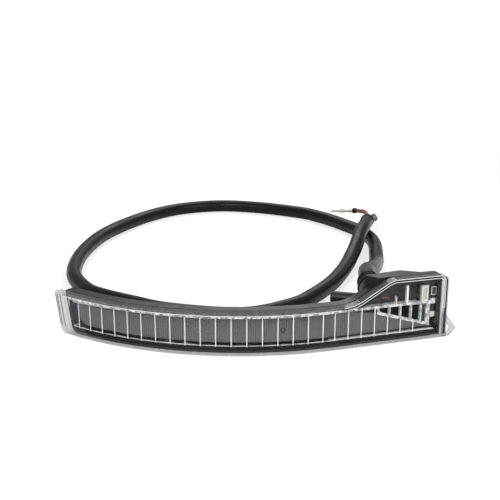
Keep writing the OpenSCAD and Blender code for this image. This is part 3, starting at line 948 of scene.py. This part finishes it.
@dataclass
class Cover:
    """The clear cover's moulded edge, its end past the housing and the lines of its corners: painted
    highlights, painted shade and painted glints, and its dark gaskets.
    """

    book: FinishBook
    plan: Plan = PLAN
    depth: float = 4.5
    left_out: float = 3.3
    right_out: float = 1.6
    bevel: float = 0.35
    proud: float = 0.02
    ear_depth: float = 1.98
    ear_band: float = 1.9
    line_depth: float = 0.1
    crown_foot: float = 12.0
    bar_points: int = 40

    def hoop(self, name: str, outer: Sequence[tuple[float, float]],
             inner: Sequence[tuple[float, float]], front: float, back: float) -> bpy.types.Object:
        """Make a closed band between two outlines of as many points.

        Args:
            name: the piece's name.
            outer: run and height of the outer outline's points.
            inner: the same for the inner outline.
            front: depth of its front face.
            back: depth of its back face.

        Returns:
            The mesh object, with rounded edges.
        """
        corners, faces, count = [], [], len(outer)
        for out_point, in_point in zip(outer, inner):
            for (run, height), depth in ((out_point, front), (out_point, back),
                                         (in_point, back), (in_point, front)):
                corners.append(self.plan.place(run, depth, height))
        for i in range(count):
            a, b = 4 * i, 4 * ((i + 1) % count)
            faces += [(a + k, b + k, b + (k + 1) % 4, a + (k + 1) % 4) for k in range(4)]
        obj = mesh_object(name, corners, faces)
        pick(obj)
        soft = obj.modifiers.new("soft_edges", "BEVEL")
        soft.width = self.bevel * MM
        soft.segments = 2
        soft.limit_method = "ANGLE"
        bpy.ops.object.modifier_apply(modifier=soft.name)
        bpy.ops.object.mode_set(mode="EDIT")
        bpy.ops.mesh.select_all(action="SELECT")
        bpy.ops.mesh.normals_make_consistent(inside=False)
        bpy.ops.object.mode_set(mode="OBJECT")
        wear(self.book, obj, RIM)
        return obj

    def ear(self, inset: float) -> list[tuple[float, float]]:
        """Return the outline of the pointed ear at the lower right.

        Args:
            inset: how far inwards it is set.
        """
        side, wide = self.plan.straight_l, self.plan.ear_w
        return [(side - 0.5, 0.1 + inset), (side + wide * 0.5 - inset * 0.3, 0.3 + inset),
                (side + wide - inset * 1.6, wide * 0.6),
                (side + 1 - inset * 0.2, wide * 1.75 - inset * 1.4),
                (side - 0.5, wide * 1.9 - inset * 1.4)]

    def line(self, name: str, points: Sequence[tuple[float, float]], depth: float,
             finish: Finish = EDGE_HIGHLIGHT, width: float = 0.34) -> None:
        """Lay a fine line: a painted highlight or painted shade along a moulded corner of the cover, or a
        dark gasket.

        Args:
            name: the piece's name.
            points: run and height of its points.
            depth: how deep it lies behind the front.
            finish: pale for a painted highlight where the corner catches light, dark for painted shade
                where it turns away.
            width: its thickness in millimetres.
        """
        places = [self.plan.place(run, depth, height) for run, height in points]
        round_tube(self.book, name, places, width * MM, finish)

    def end_row(self, inward: float) -> list[tuple[float, float]]:
        """Return an upright row of points that leans with the left end.

        Args:
            inward: how far inwards from the end it is set.
        """
        start = self.plan.left_run - self.left_out + inward
        return [(start - self.plan.lean(z), z) for z in (4.0, 9.5, 15.0, 21.0)]

    def rims(self) -> None:
        """Make the cover's edge band and the ear's."""
        outer = self.plan.outline(-self.left_out, 0.0, -self.right_out, 0.0)
        inner = self.plan.outline(1.2, 1.7, 0.9, 1.2)
        self.hoop("cover_rim", outer, inner, -self.proud, self.depth)
        self.hoop("ear_rim", self.ear(0.0), self.ear(self.ear_band), -self.proud, self.ear_depth)

    def crown_lines(self) -> None:
        """Lay the two pale painted highlight lines round the chamber's corner and slope."""
        outer = [p for p in self.plan.crown(0.3, 0.3) if p[1] > self.crown_foot]
        self.line("crown_line", outer, 0.0)
        inner = [p for p in self.plan.crown(1.5, 1.6) if p[1] > self.crown_foot and p[0] > 9.0]
        self.line("inner_crown_line", inner, self.line_depth)

    def bar_lines(self) -> None:
        """Lay the lines along the bar: the top one, a painted highlight; a band of painted glints below
        it; and the dark foot.
        """
        plan, count = self.plan, self.bar_points
        top_row = [(plan.left_run * (1.0 - i / count) + 5.0 * i / count, plan.bar_h - 1.3)
                   for i in range(count + 1)]
        self.line("top_line", top_row, self.line_depth)
        glint_row = [(run, plan.bar_h - 2.3) for run, _height in top_row[1:]]
        self.line("glint_line", glint_row, 1.3, GLINT, 1.2)
        foot_row = [p for p in plan.outline(0.6, 2.0, 0.4, 2.0)[1:44] if p[1] < 2.1]
        self.line("foot_line", foot_row, self.line_depth, GASKET, 0.42)

    def gaskets(self) -> None:
        """Lay the dark gasket's line over the crown and down the right side."""
        crown = [p for p in self.plan.crown(-0.4, 0.9) if p[1] > 9.0]
        self.line("gasket_line", crown, 0.25, GASKET, 0.8)
        side_run = self.plan.straight_l + 0.55
        side = [(side_run, z) for z in (1.6, 10.0, 20.0, 31.0)]
        self.line("side_gasket", side, 0.8, GASKET, 1.3)

    def end_lines(self) -> None:
        """Lay the upright lines of the clear left end: three of painted shade and one painted highlight.
        """
        lines = ((0.25, SHADE), (1.5, SHADE), (3.1, EDGE_HIGHLIGHT), (3.9, SHADE))
        for i, (inward, finish) in enumerate(lines):
            self.line(f"end_line_{i}", self.end_row(inward), self.line_depth, finish)

    def build(self) -> None:
        """Build the edge, the ear's edge and the corner lines: painted highlights, painted shade, painted
        glints and dark gaskets.
        """
        self.rims()
        self.crown_lines()
        self.bar_lines()
        self.gaskets()
        self.end_lines()


# Lamp


@dataclass
class Lamp:
    """The lamp's own nodes and their finishes."""

    book: FinishBook
    dress: dict[str, AnyFinish] = field(default_factory=lambda: {
        "rear_housing": HOUSING,
        "outer_lens": LENS,
        "lens_seal": RUBBER,
        "light_guide": GUIDE,
        "reflector_plate": PANEL,
        "diffuser_strip": DIFFUSER,
        "chamber_bezel": BEZEL,
        "circuit_board": BOARD,
        "led_upper": LED,
        "led_lower": LED,
        "protection_diode": CHIP,
        "resistor_upper": CHIP,
        "resistor_lower": CHIP,
        "light_coupler": DIFFUSER,
        "solder_joints": SOLDER,
        "inner_brown_lead": BROWN,
        "inner_black_lead": BLACK,
        "vent_membrane": VENT,
        "cable_grommet": RUBBER,
        "sleeve_wrap": WRAP,
        "brown_seal": SEAL,
        "black_seal": SEAL,
        "brown_terminal": TERMINAL,
        "black_terminal": TERMINAL,
    })
    plan: Plan = PLAN
    frame_half_w: float = 1.35 * MM
    frame_half_h: float = 2.1 * MM
    frame_lift: float = 0.75
    frame_line: float = 0.4 * MM
    wall_front: float = 6.2
    wall_back: float = 6.5
    wall_start: float = 15.0
    wall_end: float = 13.3
    wall_foot: float = 1.97
    wall_inset: float = 1.5
    ring_run: float = -24.4
    ring_depth: float = 4.35
    ring_z: float = 11.5
    ring_r: float = 1.1
    ring_line: float = 0.45 * MM
    ring_steps: int = 20

    def finish_nodes(self) -> None:
        """Give each visible node its finish."""
        for name, finish in self.dress.items():
            obj = bpy.data.objects[name]
            material = self.book.get(finish)
            if not obj.material_slots:
                obj.data.materials.append(material)
            for place in obj.material_slots:
                place.material = material
            LOG.info("dressed %s", name)

    def board_mark(self) -> None:
        """Print the pale frame round the diode on the board's face."""
        low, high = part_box("protection_diode")
        turn = math.radians(self.plan.tangent_deg)
        along = Vector((math.cos(turn), math.sin(turn), 0.0))
        middle = Vector([(a + b) / 2 for a, b in zip(low, high)])
        face = Vector((math.sin(turn), -math.cos(turn), 0.0)) * self.frame_lift * MM
        half_w, half_h = self.frame_half_w, self.frame_half_h
        corners = [middle + face + along * w + Vector((0, 0, h)) for w, h in (
            (-half_w, -half_h), (half_w, -half_h), (half_w, half_h), (-half_w, half_h))]
        round_tube(self.book, "diode_frame", corners, self.frame_line, SILK, cyclic=True)

    def shaded_chamber_sheet(self) -> None:
        """Close the chamber behind the fins, from the guide's flange up to the housing's slope, with a
        dark sheet whose colour is painted shade.
        """
        plan, start = self.plan, self.wall_start
        foot_z = plan.bar_h - self.wall_foot
        board_u = plan.straight_l - self.wall_end
        slope = [p for p in plan.rise(self.wall_inset) if p[0] > start]
        edge = [(start, foot_z), (board_u, foot_z), (board_u, plan.chamber_h - self.wall_inset), *slope]
        corners = [plan.place(run, depth, z) for depth in (self.wall_front, self.wall_back)
                   for run, z in edge]
        count = len(edge)
        faces = [tuple(range(count)), tuple(range(2 * count - 1, count - 1, -1))]
        faces += [(i, i + count, (i + 1) % count + count, (i + 1) % count) for i in range(count)]
        wear(self.book, mesh_object("chamber_shade_sheet", corners, faces), CHAMBER_SHADE)

    def ejector_mark(self) -> None:
        """Leave the small ring of an ejector pin on the panel's face."""
        angles = (math.tau * i / self.ring_steps for i in range(self.ring_steps))
        ring = [self.plan.place(self.ring_run + self.ring_r * math.cos(t), self.ring_depth,
                                self.ring_z + self.ring_r * math.sin(t)) for t in angles]
        round_tube(self.book, "ejector_ring", ring, self.ring_line, GASKET, cyclic=True)

    def build(self) -> None:
        """Dress the lamp."""
        self.finish_nodes()
        self.board_mark()
        self.shaded_chamber_sheet()
        self.ejector_mark()


def main() -> None:
    """Build the scene in order: studio, cable, lamp."""
    logging.basicConfig(level=logging.INFO, format="%(name)s: %(message)s")
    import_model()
    book = FinishBook()
    bpy.context.scene.view_settings.view_transform = "Standard"
    Studio().build()
    Cable(book).build()
    Cover(book).build()
    Lamp(book).build()


if __name__ == "__main__":
    main()
